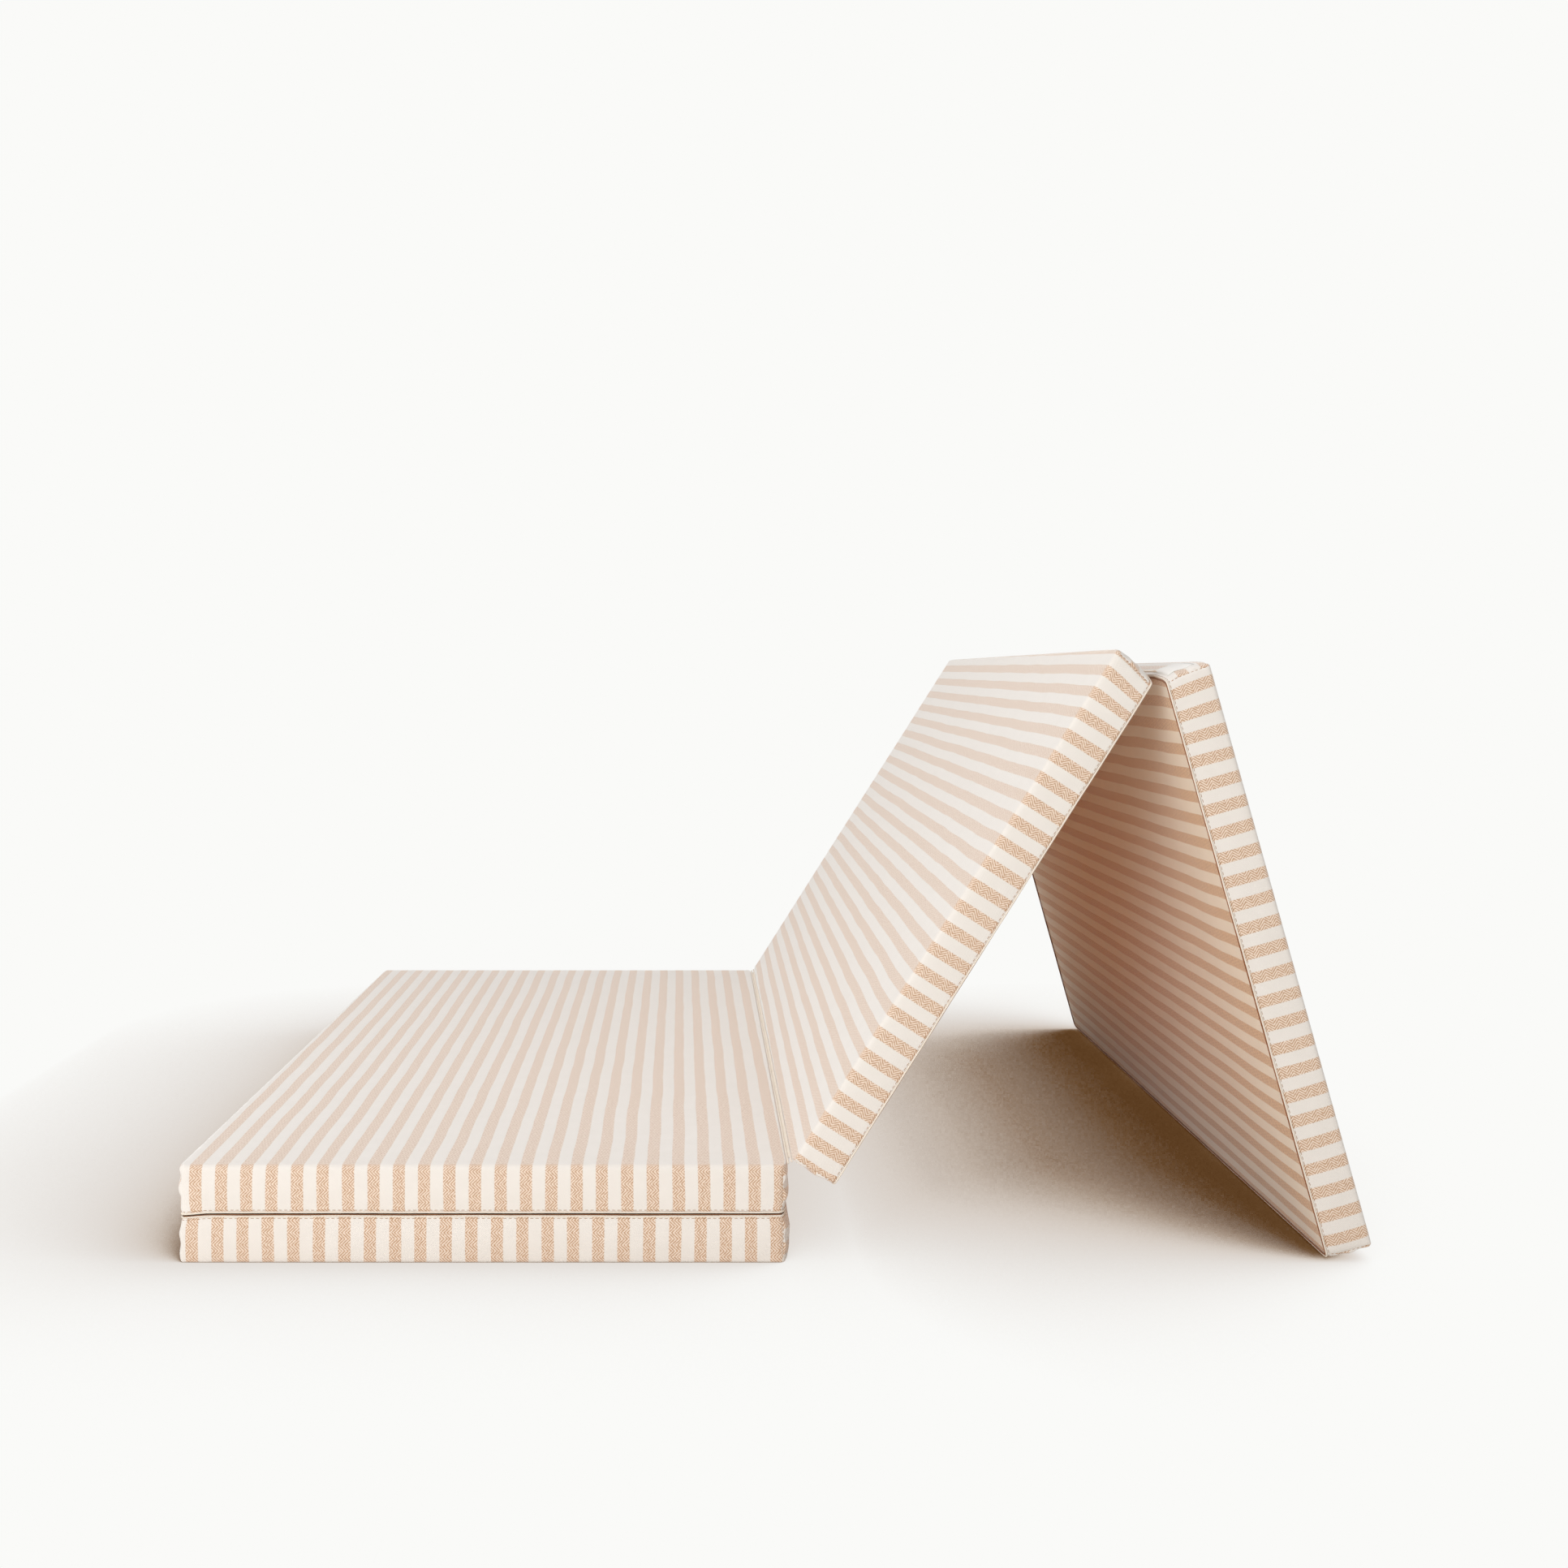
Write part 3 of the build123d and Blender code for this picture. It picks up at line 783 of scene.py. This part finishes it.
    def slacken_corners(self, flat: Vector, p: Vector) -> None:
        """Draws the face's corners at the hinged end in and lets the front one hang, in place."""
        height = flat.z / COVER_HEIGHT
        inward = HALF_DEPTH - abs(flat.y)
        if self.pull and flat.x < 0:
            far, wide = self.filling.pull_reach
            near = (1 - smooth(0, wide, inward)) * (1 - smooth(0, far, HALF_WIDTH + flat.x))
            p.x += self.pull * near * smooth(*self.filling.pull_rise, height)
        p.z += self.sag(flat.x, flat.y) * smooth(*self.filling.sag_rise, height)

    def sag(self, x: float, y: float) -> float:
        """How far the front corner at the hinged end hangs at a place."""
        far, wide = self.filling.sag_reach
        return self.droop * (1 - smooth(0, far, HALF_WIDTH + x)) * (1 - smooth(0, wide, HALF_DEPTH + y))

    def piece(self, stem: str, bm: Shape, finish: Finish, slot: str, *replaced: str) -> bpy.types.Object:
        """Places one piece of the section on its body.

        Args:
            stem: the piece's name without the section's number.
            bm: its mesh, in the section's millimetres.
            finish: its material.
            slot: its material slot; not used.
            replaced: the solids that it stands for, without the section's number.

        Returns:
            The piece.
        """
        obj = place_object(f"{stem}_{self.number}", bm, self.matrix, finish)
        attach(obj, self.body)
        if replaced:
            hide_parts(*(f"{solid}_{self.number}" for solid in replaced))
        return obj

    def in_window(self, centre: Vector) -> bool:
        """Tells whether a face of the flat block lies in the zip's window."""
        return (centre.y > HALF_DEPTH - TOUCH and abs(centre.x) < self.window_length / 2
                and abs(centre.z - COVER_HEIGHT / 2) < self.window_height / 2)

    def build_cover(self, block: bpy.types.Mesh, cloth: Finish, painted_shade_cloth: Finish) -> bpy.types.Object:
        """Shapes the cover from the cut block and lays the cloth's map on it.

        Args:
            block: the flat block, cut into a grid.
            cloth: the ticking of the base and the four sides.
            painted_shade_cloth: the ticking of the sewn-on face, a warmer, darker copy that carries painted
                warm shade.

        Returns:
            The cover, one closed shell with a recess for the zip.
        """
        bm = bmesh.new()
        bm.from_mesh(block)
        layer = bm.loops.layers.uv.new("cloth")
        for face in bm.faces:
            centre = face.calc_center_median()
            side = self.side_of(centre)
            face.material_index = 1 if side is Side.FACE else 0
            for loop in face.loops:
                loop[layer].uv = self.cloth_map(side, loop.vert.co, centre)
        window = [face for face in bm.faces if self.in_window(face.calc_center_median())]
        moves = {vert: self.shaped(vert.co) - vert.co for vert in bm.verts}
        for vert, move in moves.items():
            vert.co += move
        pocket = bmesh.ops.extrude_face_region(bm, geom=window)["geom"]
        floor = [item for item in pocket if isinstance(item, bmesh.types.BMVert)]
        bmesh.ops.translate(bm, verts=floor, vec=(0.0, -self.pocket_depth, 0.0))
        bmesh.ops.delete(bm, geom=window, context="FACES")
        bmesh.ops.recalc_face_normals(bm, faces=bm.faces)
        cover = self.piece("cover", bm, cloth, "ticking", "cover_tray", "cover_face")
        # The sewn-on face takes the warmer, darker ticking, which carries painted warm shade
        cover.data.materials.append(painted_shade_cloth)
        subdivide = cover.modifiers.new("rounding", "SUBSURF")
        subdivide.levels = subdivide.render_levels = 1
        return cover

    def rim(self, level: float, out: float) -> list[Vector]:
        """The cover's outline at a level, as a closed run of points.

        Args:
            level: the height above the base cloth.
            out: how far outside the cloth the run lies.

        Returns:
            Points round the section, starting at one corner.
        """
        sides = []
        for half in (HALF_WIDTH, HALF_DEPTH):
            close = [half - step for step in RIM_STEPS]
            sides.append([-place for place in close] + even_places(close[-1], RIM_PITCH)[1:-1] + close[::-1])
        xs, ys = sides
        flat = [Vector((x, -HALF_DEPTH, level)) for x in xs]
        flat += [Vector((HALF_WIDTH, y, level)) for y in ys[1:]]
        flat += [Vector((x, HALF_DEPTH, level)) for x in xs[-2::-1]]
        flat += [Vector((-HALF_WIDTH, y, level)) for y in ys[-2:0:-1]]
        points = [self.shaped(point) for point in flat]
        run = []
        for i, point in enumerate(points):
            heading = points[(i + 1) % len(points)] - points[i - 1]
            heading.z = 0
            heading.normalize()
            run.append(point + Vector((heading.y, -heading.x, 0.0)) * out)
        return run

    def seam_run(self, out: float, rise: float, waver: float, wave: float, seed: int) -> list[Vector]:
        """A run beside the sewn-on face that wavers a little, as a hand-guided seam does.

        Args:
            out: how far outside the cloth it lies.
            rise: how far it lies above the lip's level.
            waver: how far it strays up and down.
            wave: over what length it strays.
            seed: added to the section's number for the noise.

        Returns:
            Points round the section.
        """
        run = []
        for point in self.rim(COVER_HEIGHT - self.rim_drop, out):
            stray = waver * ripple((point.x, point.y), (wave, wave), self.number + seed)
            run.append(Vector((point.x, point.y, self.lip_level + rise + stray + self.sag(point.x, point.y))))
        return run

    def build_lip(self, tape: Finish) -> None:
        """Runs the bound seam, a little flattened, round the sewn-on face."""
        bm = tube(self.seam_run(out=0.15, rise=0.0, waver=0.42, wave=38.0, seed=8), self.lip_radius, True)
        level = Vector((0.0, 0.0, self.lip_level))
        flatten = Matrix.Diagonal((1.0, 1.0, self.lip_flatness, 1.0))
        flatten = Matrix.Translation(level) @ flatten @ Matrix.Translation(-level)
        bmesh.ops.transform(bm, matrix=flatten, verts=bm.verts)
        self.piece("bound_lip", bm, tape, "seam_tape", "seam_lip")

    def build_seam_thread(self, thread: Finish) -> None:
        """Runs a brown overlocked thread on the face's side of the lip, dark brown as painted shade for the
        narrow gap there.
        """
        run = self.seam_run(out=-1.55, rise=0.65, waver=0.15, wave=30.0, seed=11)
        self.piece("gap_shade_thread", tube(run, self.thread_radius, True), thread, "seam_tape")

    def build_fold_lip(self, tape: Finish) -> None:
        """Runs the thin bound edge along the base cloth's hinged end."""
        reach = HALF_DEPTH - self.fold_setback
        steps, wave = 80, 40.0
        run = []
        for i in range(steps + 1):
            y = -reach + 2 * reach * i / steps
            waver = self.fold_waver * ripple((y, 0.0), (wave, wave), self.number + 3, 2.0)
            run.append(Vector((HALF_WIDTH + self.fold_out + waver, y, self.fold_level - abs(waver) / 2)))
        self.piece("fold_lip", tube(run, self.fold_radius, False), tape, "seam_tape")

    def build_stitching(self, thread: Finish) -> None:
        """Sews the row under the lip, the corner seams and two rows beside the zip, as one piece."""
        levels = range(5, 36, 2)  # up the wall, clear of both broad sides
        step = 6
        bm = bmesh.new()
        run = self.rim(COVER_HEIGHT - self.row_drop, 0.05)
        LIP_ROW.sew(bm, run + run[:1])
        for end, inset in zip((-1, 1), self.seam_inset):
            x, y = end * (HALF_WIDTH - max(0.0, inset)), HALF_DEPTH + min(0.0, inset)
            for side in (-1, 1):
                CORNER_ROW.sew(bm, [self.shaped(Vector((x, side * y, z))) for z in levels])
        reach = int(self.window_length / 2 + self.row_gap)
        for level in (-1, 1):
            z = COVER_HEIGHT / 2 + level * (self.window_height / 2 + self.row_gap)
            ZIP_ROW.sew(bm, [self.shaped(Vector((x, HALF_DEPTH, z))) for x in range(-reach, reach + 1, step)])
        self.piece("stitching", bm, thread, "seam_tape", "corner_seams")

    def build_foam(self, foam: Finish) -> None:
        """Builds the foam block, a little smaller than the filled cover."""
        bm = bmesh.new()
        bmesh.ops.create_cube(bm, size=1.0)
        bmesh.ops.scale(bm, vec=self.foam_size, verts=bm.verts)
        bmesh.ops.translate(bm, vec=(0.0, self.foam_shift, COVER_HEIGHT / 2), verts=bm.verts)
        bmesh.ops.bevel(bm, geom=bm.edges[:], offset=self.foam_radius, offset_type="OFFSET", affect="EDGES",
                        segments=3, profile=0.5, material=-1)
        block = self.piece("foam_block", bm, foam, "foam", "foam_core")

    def build_label(self, cover: bpy.types.Object, cloth: Finish) -> None:
        """Lays a plain woven label on the hinged end, near its front.

        Args:
            cover: the section's cover, which the label lies on; not used.
            cloth: the label's finish.
        """
        bm = bmesh.new()
        bmesh.ops.create_grid(bm, x_segments=12, y_segments=8, size=0.5)
        wide, long = self.label_size
        y, z = self.label_middle
        for vert in bm.verts:
            flat = Vector((-HALF_WIDTH, y + long * vert.co.x, z + wide * vert.co.y))
            vert.co = self.shaped(flat) - Vector((self.label_lift, 0.0, 0.0))
        thicken(bm, self.label_thickness)
        label = self.piece("plain_label", bm, cloth, "seam_tape")

    def dress_zip(self, finishes: dict[str, Finish]) -> None:
        """Gives each kind of the zip's solid parts its finish."""
        for stem, finish in finishes.items():
            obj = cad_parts[f"{stem}_{self.number}"]
            obj.data.materials.clear()
            obj.data.materials.append(finish)


@dataclass
class FoldTape:
    """The strip of cotton tape that joins two sections and bends at their fold.

    start and end are the strip's edges on the two sections, and axis is the fold's line, all as
    seen along the hinge (X and Z of the object). outside points to the fold's outer side. waist is
    how near the strip comes to the axis, and hug is the power of its way there.
    """

    name: str
    bodies: tuple[str, str]
    axis: Vector
    start: Vector
    end: Vector
    outside: Vector
    replaced: tuple[str, str]
    half_length: float = 476.0
    thickness: float = 0.5
    waist: float = 0.95
    hug: float = 1.2
    steps: int = 16
    spans: int = 60

    def profile(self) -> list[Vector]:
        """The strip's section, turning round the fold's axis on its outer side."""
        a, b = self.start - self.axis, self.end - self.axis
        angle_a, angle_b = atan2(a.z, a.x), atan2(b.z, b.x)
        outer = atan2(self.outside.z, self.outside.x)
        before = (outer - angle_a + pi) % tau - pi
        after = (angle_b - outer + pi) % tau - pi
        run = []
        for i in range(self.steps + 1):
            t = i / self.steps
            angle = angle_a + (before + after) * t
            reach = a.length + (b.length - a.length) * t
            reach += (self.waist - reach) * sin(pi * t) ** self.hug
            run.append(self.axis + Vector((cos(angle), 0.0, sin(angle))) * reach)
        return run

    def build(self, tape: Finish) -> None:
        """Sweeps the section along the hinge into one strip, fixed in place."""
        bm = bmesh.new()
        front = Vector((0.0, -self.half_length, 0.0))
        verts = [bm.verts.new(point + front) for point in self.profile()]
        edges = [bm.edges.new(pair) for pair in zip(verts, verts[1:])]
        for _ in range(self.spans):
            grown = bmesh.ops.extrude_edge_only(bm, edges=edges)["geom"]
            moved = [item for item in grown if isinstance(item, bmesh.types.BMVert)]
            bmesh.ops.translate(bm, verts=moved, vec=(0.0, 2 * self.half_length / self.spans, 0.0))
            edges = [item for item in grown
                     if isinstance(item, bmesh.types.BMEdge) and all(v in moved for v in item.verts)]
        thicken(bm, self.thickness)
        strip = place_object(self.name, bm, Matrix.Identity(4), tape)
        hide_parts(*self.replaced)
        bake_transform(strip)


@dataclass(frozen=True)
class Lamp:
    """A soft area lamp: its place, target and sides in metres, and its power in watts."""

    name: str
    place: Place
    target: Place
    size: float
    power: float
    colour: str = "ffffff"
    depth: float | None = None  # the other side, where the lamp is not square

    def hang(self) -> None:
        """Adds the lamp to the scene, facing its target."""
        light = bpy.data.lights.new(self.name, "AREA")
        light.size = self.size
        light.energy = self.power
        light.color = linear(self.colour)[:3]
        if self.depth is not None:
            light.shape, light.size_y = "RECTANGLE", self.depth
        holder = bpy.data.objects.new(self.name, light)
        holder.location = self.place
        holder.rotation_euler = (Vector(self.target) - Vector(self.place)).to_track_quat("-Z", "Y").to_euler()
        holder.visible_camera = False
        bpy.context.scene.collection.objects.link(holder)


@dataclass
class Studio:
    """White paper floor, soft lamps and the camera; lengths but the floor's are metres."""

    camera_place: Place = (0.1744, -2.0, 0.4801)
    lens: float = 42.07
    sensor: float = 36.0
    shift: Pair = (0.0565, -0.0686)
    clip: Pair = (0.05, 50.0)
    half_floor: float = 7000.0
    world_strength: float = 0.58
    world_colour: str = "fffcf9"
    backdrop: str = "fafaf8"
    lamps: tuple[Lamp, ...] = (
        Lamp("soft_key", (1.5, -2.7, 1.3), (0.25, -0.1, 0.1), 2.0, 6.5),
        Lamp("soft_low", (-1.0, -2.5, 0.6), (0.55, 0.0, 0.2), 1.2, 22.0),
        Lamp("soft_left", (-2.2, -1.9, 0.5), (0.65, -0.4, 0.25), 1.2, 8.0),
        Lamp("warm_bounce", (0.4, 0.0, 0.012), (0.4, 0.0, 1.0), 0.2, 0.34, "ffa244", 0.95),
        Lamp("soft_top", (-0.6, 0.2, 2.3), (0.1, 0.1, 0.1), 2.4, 17.5),
    )

    def build(self, paper: Finish) -> None:
        """Sets up the floor, the light and the camera."""
        bpy.context.scene.view_settings.view_transform = "Standard"
        bm = bmesh.new()
        bmesh.ops.create_grid(bm, x_segments=2, y_segments=2, size=self.half_floor)
        floor = place_object("studio_floor", bm, Matrix.Identity(4), paper, False)
        self.build_air()
        for lamp in self.lamps:
            lamp.hang()
        self.place_camera()

    def build_air(self) -> None:
        """Fills the studio with even light, which the camera sees as a white backdrop."""
        world = bpy.data.worlds.new("studio_air")
        bpy.context.scene.world = world
        world.use_nodes = True
        tree = world.node_tree
        seen = seen_directly(tree)
        colour = add(tree, "Mix", {"data_type": "RGBA", 0: seen, 6: linear(self.world_colour),
                                   7: linear(self.backdrop)}, 2)
        strength = add(tree, "MapRange", {0: seen, 3: self.world_strength, 4: 1.0})
        set_up(tree, tree.nodes["Background"], {0: colour, 1: strength})

    def place_camera(self) -> None:
        """Stands the camera level in front of the object."""
        camera = bpy.data.cameras.new("camera")
        camera.sensor_width = self.sensor
        camera.lens = self.lens
        camera.shift_x, camera.shift_y = self.shift
        camera.clip_start, camera.clip_end = self.clip
        holder = bpy.data.objects.new("camera", camera)
        holder.location = self.camera_place
        holder.rotation_euler = (pi / 2, 0.0, 0.0)
        bpy.context.scene.collection.objects.link(holder)
        bpy.context.scene.camera = holder


def grid_lines(half: float, extra: list[float]) -> list[float]:
    """Places the cuts across one way of the block.

    Args:
        half: half the block's length that way.
        extra: the cuts that the zip's window needs.

    Returns:
        Close cuts near both ends, even ones between them, and those of the window.
    """
    clear = 2.0
    even = even_places(half - GRID_STEPS[-1], GRID_PITCH)
    kept = [place for place in even if all(abs(place - cut) > clear for cut in extra)]
    return [side * (half - step) for step in GRID_STEPS[:-1] for side in (-1, 1)] + kept + extra


def cut_block() -> bpy.types.Mesh:
    """Cuts a plain block into a grid that is close near its edges and round the zip's window."""
    bm = bmesh.new()
    bmesh.ops.create_cube(bm, size=1.0)
    bmesh.ops.scale(bm, vec=(2 * HALF_WIDTH, 2 * HALF_DEPTH, COVER_HEIGHT), verts=bm.verts)
    bmesh.ops.translate(bm, vec=(0.0, 0.0, COVER_HEIGHT / 2), verts=bm.verts)
    wide = Section.window_length / 2
    low = COVER_HEIGHT / 2 - Section.window_height / 2
    high = COVER_HEIGHT / 2 + Section.window_height / 2
    beside, above = 0.8, 0.7  # cuts close to the window's edges keep them crisp
    edges = [side * wide + step for side in (-1, 1) for step in (-beside, 0.0, beside)]
    cuts = {
        0: grid_lines(HALF_WIDTH, edges),
        1: grid_lines(HALF_DEPTH, []),
        2: [0.9, 2.2, 4.6, 8.5, low - above, low, low + above, 16.5, 19.5, 22.5,
            high - above, high, high + above, 31.0, 34.6, 36.8, 38.1],
    }
    for axis, places in cuts.items():
        for place in places:
            point, normal = Vector(), Vector()
            point[axis], normal[axis] = place, 1.0
            everything = bm.verts[:] + bm.edges[:] + bm.faces[:]
            bmesh.ops.bisect_plane(bm, geom=everything, dist=WELD, plane_co=point, plane_no=normal)
    mesh = bpy.data.meshes.new("block")
    bm.to_mesh(mesh)
    bm.free()
    return mesh


def sections() -> dict[int, Section]:
    """Places the four sections, by number: two lie stacked, two stand as an A-frame."""
    ahead, up = Vector((1.0, 0.0, 0.0)), Vector((0.0, 0.0, 1.0))
    lean_up = Vector((0.5358268, 0.0, 0.8443279))
    lean_out = Vector((-0.8443279, 0.0, 0.5358268))
    steep_down = Vector((0.2689948, 0.0, -0.9631416))
    steep_out = Vector((0.9631416, 0.0, 0.2689948))
    axis_2_3 = Vector((252.0, 0.0, 80.7))
    axis_3_4 = Vector((556.505284, 0.0, 484.379541))
    face_level = COVER_HEIGHT + HINGE_RISE
    third = axis_2_3 + lean_up * HINGE_REACH - lean_out * HINGE_RISE
    fourth = axis_3_4 + steep_down * HINGE_REACH + steep_out * face_level
    return {
        1: Section(1, Vector(), ahead, up, -242.8, 20.8, rests=True, base_radius=2.2, droop=-1.8,
                   seam_inset=(-4.0, 4.2)),
        2: Section(2, up * 2 * face_level, ahead, -up, -239.8, 20.8, skew=0.0078, end_bulge=(1.3, 1.3),
                   end_shift=(0.0, 10.2), seam_inset=(-6.0, 4.2), hinge_on_base=True, droop=2.0,
                   hinged_corner=(6.0, 12.0), pucker=1.5),
        3: Section(3, third, -lean_up, -lean_out, -254.0, 20.62, skew=0.006, end_bulge=(1.3, 1.3),
                   hinge_on_base=True, pull=7.0),
        4: Section(4, fourth, steep_down, -steep_out, -238.9, 20.34, face_start=-231.4, face_repeat=20.63,
                   end_shift=(1.24, 0.0), pull=3.0),
    }


def fold_tapes(parts: dict[int, Section]) -> list[FoldTape]:
    """Places the three strips of tape between the sections, which it takes by number."""
    stacked = 0.2  # below this, the two sections lie against each other
    face_fold = Vector((-HINGE_REACH, 0.0, COVER_HEIGHT + HINGE_RISE))
    base_fold = Vector((HINGE_REACH, 0.0, -HINGE_RISE))
    on_face = (Vector((-250.8, 0.0, 38.3)), face_fold, -1, "face")
    on_base = (Vector((251.1, 0.0, 0.5)), base_fold, 1, "base")
    tapes = []
    for a, b, (edge, fold, inner, stem) in ((1, 2, on_face), (2, 3, on_base), (3, 4, on_face)):
        first, second = parts[a], parts[b]
        outside = (first.along + second.along) * inner
        if outside.length < stacked:
            outside = first.through
        tapes.append(FoldTape(f"fold_tape_{a}_{b}", (first.body, second.body), first.matrix @ fold,
                              first.matrix @ edge, second.matrix @ edge, outside,
                              (f"hinge_leaf_{stem}_{a}", f"hinge_leaf_{stem}_{b}")))
    return tapes


def main() -> None:
    """Builds the mattress piece by piece."""
    logging.basicConfig(level=logging.INFO)
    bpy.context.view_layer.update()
    ticking = TwillTicking().build()
    # The sewn-on face's ticking is a warmer, darker copy of the same cloth: painted warm shade for the inside
    # of the A-frame
    painted_shade_ticking = TwillTicking("cotton_ticking_painted_shade", "f8e9d2", "efe0c7", "eac18d", "bb8751").build()
    binding = CottonTape().build()
    thread = CottonTape("sewing_thread", "bd9470", "9f7650", 0.5, 0.7).build()
    # Dark brown thread: painted shade for the narrow gap under the lip
    gap_shade_thread = CottonTape("overlock_gap_shade_thread", "a8714a", "7d4c2c", 0.9, 0.8).build()
    label = CottonTape("woven_label", "f7f6f3", "efedea", 0.6, 0.8).build()
    foam = FOAM.build()
    zip_finishes = {
        "zip_tapes": CottonTape("zip_tape_twill", "e9dfcd", "d6c7ad", 0.9, 0.85).build(),
        "zip_teeth": ACETAL.build(),
        "zip_stops": replace(NICKEL, name="pressed_nickel_stop").build(),
        "zip_slider": NICKEL.build(),
        "zip_pull": replace(NICKEL, name="nickel_plated_pull", tones=("d8d3c8", "bdb6a8")).build(),
    }
    Studio().build(StudioPaper().build())
    block = cut_block()
    parts = sections()
    for number, section in parts.items():
        cover = section.build_cover(block, ticking, painted_shade_ticking)
        section.build_lip(binding)
        section.build_seam_thread(gap_shade_thread)
        if section.hinge_on_base:
            section.build_fold_lip(binding)
        section.build_stitching(thread)
        section.build_foam(foam)
        if number == 4:
            section.build_label(cover, label)
        section.dress_zip(zip_finishes)
        log.info("section %d built", number)
    for tape in fold_tapes(parts):
        tape.build(binding)
        log.info("%s built", tape.name)
    bpy.data.meshes.remove(block)


if __name__ == "__main__":
    main()
